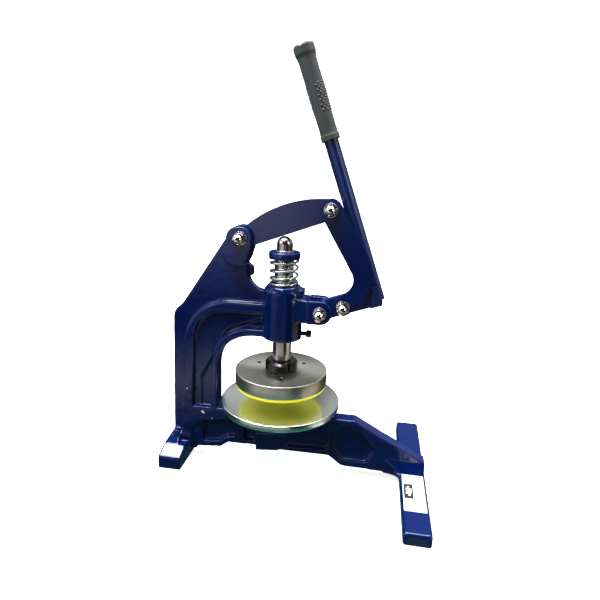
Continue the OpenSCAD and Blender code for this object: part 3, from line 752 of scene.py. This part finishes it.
def sweep_stage():
    """A pale floor that curves up into a backdrop."""
    bm = bmesh.new()
    prof = [(-3.0, 0.0), (1.6, 0.0)]
    for i in range(1, 13):
        a = math.pi / 2 * i / 12
        prof.append((1.6 + 0.9 * math.sin(a), 0.9 - 0.9 * math.cos(a)))
    prof.append((2.5, 4.0))
    rows = [[bm.verts.new((x, y, z - 0.0001)) for x in (-4.5, 4.5)] for y, z in prof]
    for a, b in zip(rows, rows[1:]):
        bm.faces.new((a[0], a[1], b[1], b[0]))
    me = bpy.data.meshes.new("studio_floor")
    bm.to_mesh(me)
    bm.free()
    ob = new_object("studio_floor", me)
    for p in me.polygons:
        p.use_smooth = True
    m = Mat("studio_paper")
    m.set("Base Color", m.mix(m.noise(3, 2), (0.90, 0.90, 0.905), (0.88, 0.88, 0.885)))
    m.set("Roughness", 0.9)
    m.set("Specular IOR Level", 0.1)
    m.set("Emission Color", (1.0, 1.0, 1.0))
    m.set("Emission Strength", 0.80)
    ob.data.materials.append(m.m)
    return ob


paper = sweep_stage()
paper.visible_glossy = False
paper.visible_diffuse = False


def area(name, loc, target, size, power, colour=(1, 1, 1), size_y=None):
    d = bpy.data.lights.new(name, "AREA")
    d.energy = power
    d.color = colour
    d.size = size
    if size_y:
        d.shape = "RECTANGLE"
        d.size_y = size_y
    o = bpy.data.objects.new(name, d)
    SCENE.collection.objects.link(o)
    o.location = loc
    o.rotation_mode = "QUATERNION"
    o.rotation_quaternion = (Vector(target) - Vector(loc)).to_track_quat("-Z", "Y")
    return o


# soft light from above and behind for the upper faces, a weak key from the front left, and a wash on the backdrop
area("top", (0.0, 0.25, 1.5), (0, 0, 0.1), 1.1, 28)
area("strip", (-0.34, -0.36, 1.35), (-0.08, 0, 0.15), 0.8, 19.0, size_y=0.18)
area("lamp", (-0.71, 0.43, 1.5), (-0.13, -0.03, 0.02), 0.36, 9.0)
area("key", (-0.95, -0.75, 0.85), (0, 0, 0.18), 0.5, 4.2, (0.92, 0.96, 1.0))
area("fill", (1.2, -0.5, 0.75), (0, 0, 0.2), 0.45, 2.2, (1.0, 0.93, 0.86))
area("backdrop_wash", (0, 0.9, 2.2), (0, 2.4, 0.8), 2.6, 110)


class Room(Mat):
    """Node helper for the world: light by direction, as azimuth from the front and elevation, in degrees."""

    def __init__(self, name):
        self.w = bpy.data.worlds.new(name)
        self.w.use_nodes = True
        self.t = self.w.node_tree
        self.n = self.t.nodes
        self.geo = None
        d = self.separate(self.node("ShaderNodeTexCoord").outputs["Generated"])
        self.az = self.math("MULTIPLY", self.math("ARCTAN2", d[0], self.math("MULTIPLY", d[1], -1.0)), 180 / math.pi)
        self.el = self.math("MULTIPLY", self.math("ARCSINE", d[2]), 180 / math.pi)
        self.total = None

    def edge(self, v, at, soft):
        x = self.node("ShaderNodeMapRange", interpolation_type="SMOOTHSTEP")
        x.inputs["From Min"].default_value = at - soft
        x.inputs["From Max"].default_value = at + soft
        self.link(v, x.inputs["Value"])
        return x.outputs["Result"]

    def patch(self, az, el, wide, high, soft, value, colour=(1, 1, 1)):
        """A soft rectangle of light, centred on az, el."""
        da = self.math("ABSOLUTE", self.math("SUBTRACT", self.az, az))
        de = self.math("ABSOLUTE", self.math("SUBTRACT", self.el, el))
        a = self.math("SUBTRACT", 1.0, self.edge(da, wide / 2, soft))
        e = self.math("SUBTRACT", 1.0, self.edge(de, high / 2, soft))
        f = self.math("MULTIPLY", self.math("MULTIPLY", a, e), value)
        c = self.mix(1.0, tuple(colour), f, "MULTIPLY")
        self.total = c if self.total is None else self.mix(1.0, self.total, c, "ADD")

    def done(self, floor_colour):
        self.total = self.mix(1.0, self.total, tuple(floor_colour), "ADD")
        self.link(self.total, self.n["Background"].inputs["Color"])
        self.n["Background"].inputs["Strength"].default_value = 1.0
        SCENE.world = self.w


room = Room("room")
room.patch(180, 38, 230, 56, 14, 0.26, (0.98, 1.0, 0.97))      # pale wall behind
room.patch(180, 10, 170, 14, 5, 0.18, (0.9, 0.95, 1.0))
room.patch(0, 86, 400, 30, 14, 0.45, (0.95, 0.98, 1.0))        # ceiling
room.patch(-19, -4, 24, 14, 5, 1.15, (0.98, 0.96, 1.0))        # pale room seen low at the front left
room.patch(-46, -6, 34, 22, 7, 0.50, (0.96, 0.98, 1.0))
room.patch(-20, -24.3, 98, 4, 2.2, 1.15, (1.0, 0.98, 0.93))     # lit front edge of the table
room.patch(92, -24, 46, 12, 3, 0.75, (1.0, 0.80, 0.58))
room.patch(0, -52, 400, 34, 10, 0.9, (0.06, 0.28, 0.25))       # dark teal table top
room.patch(-95, 20, 50, 50, 8, 0.9, (0.92, 0.96, 1.0))        # window at the left
room.patch(86, 10, 34, 36, 6, 0.45, (1.0, 0.86, 0.70))          # warm wall at the right
room.patch(-160, 27, 30, 14, 5, 0.50, (0.96, 1.0, 0.98))
room.patch(12, -42, 18, 13, 3, 0.22, (0.80, 0.95, 1.0))         # pale paper in front of the long foot
room.patch(17, -8, 15, 22, 4, 0.16, (1.0, 0.98, 0.95))
room.done((0.010, 0.012, 0.016))

yaw, pitch, roll = -0.14459942290868935, 0.2739388657366719, -0.038742608488779966
fwd = Vector((math.sin(yaw) * math.cos(pitch), math.cos(yaw) * math.cos(pitch), -math.sin(pitch)))
right = Vector((math.cos(yaw), -math.sin(yaw), 0))
down = fwd.cross(right)
c, s = math.cos(roll), math.sin(roll)
r2 = right * c + down * s
d2 = -right * s + down * c
cam_data = bpy.data.cameras.new("camera")
cam_data.sensor_width = 36.0
cam_data.sensor_fit = "HORIZONTAL"
cam_data.lens = 495.5165380060568 * 36.0 / 600.0
cam_data.clip_start, cam_data.clip_end = 0.02, 30
cam = bpy.data.objects.new("camera", cam_data)
SCENE.collection.objects.link(cam)
cam.matrix_world = Matrix((
    (r2[0], -d2[0], -fwd[0], 0.08984811998288544 - OX),
    (r2[1], -d2[1], -fwd[1], -0.4950318688269563),
    (r2[2], -d2[2], -fwd[2], 0.337273484413892),
    (0, 0, 0, 1)))
SCENE.camera = cam
SCENE.view_settings.view_transform = "Standard"
